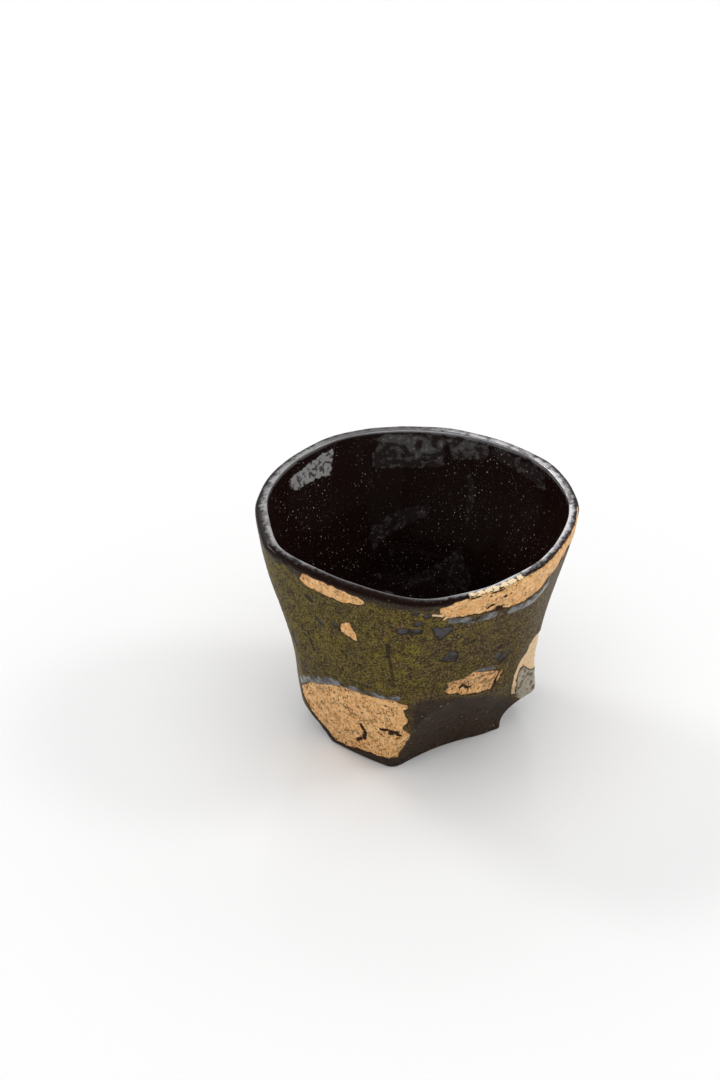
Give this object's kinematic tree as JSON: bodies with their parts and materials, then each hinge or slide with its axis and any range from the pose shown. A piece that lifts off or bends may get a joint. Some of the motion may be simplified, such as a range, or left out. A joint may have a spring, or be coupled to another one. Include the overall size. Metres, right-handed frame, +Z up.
{
  "type": "tea cup",
  "caption": "Hand-carved stoneware tea cup with pared facets, a scooped foot, a dark glazed hollow and gold-patched green glaze outside.",
  "frame": {"origin": "on the flat underside, below the middle of the cup's width and depth", "axes": "+Z up through the mouth, -Y towards the front, with the carved front edge between the two front facets"},
  "size_m": [0.088, 0.0858, 0.068],
  "materials": {
    "glazed_stoneware": "mottled moss-green and brown glaze outside, near-black speckled glaze inside, gold leaf patches"
  },
  "bodies": {
    "root": {"cup": "glazed_stoneware"}
  },
  "joints": []
}
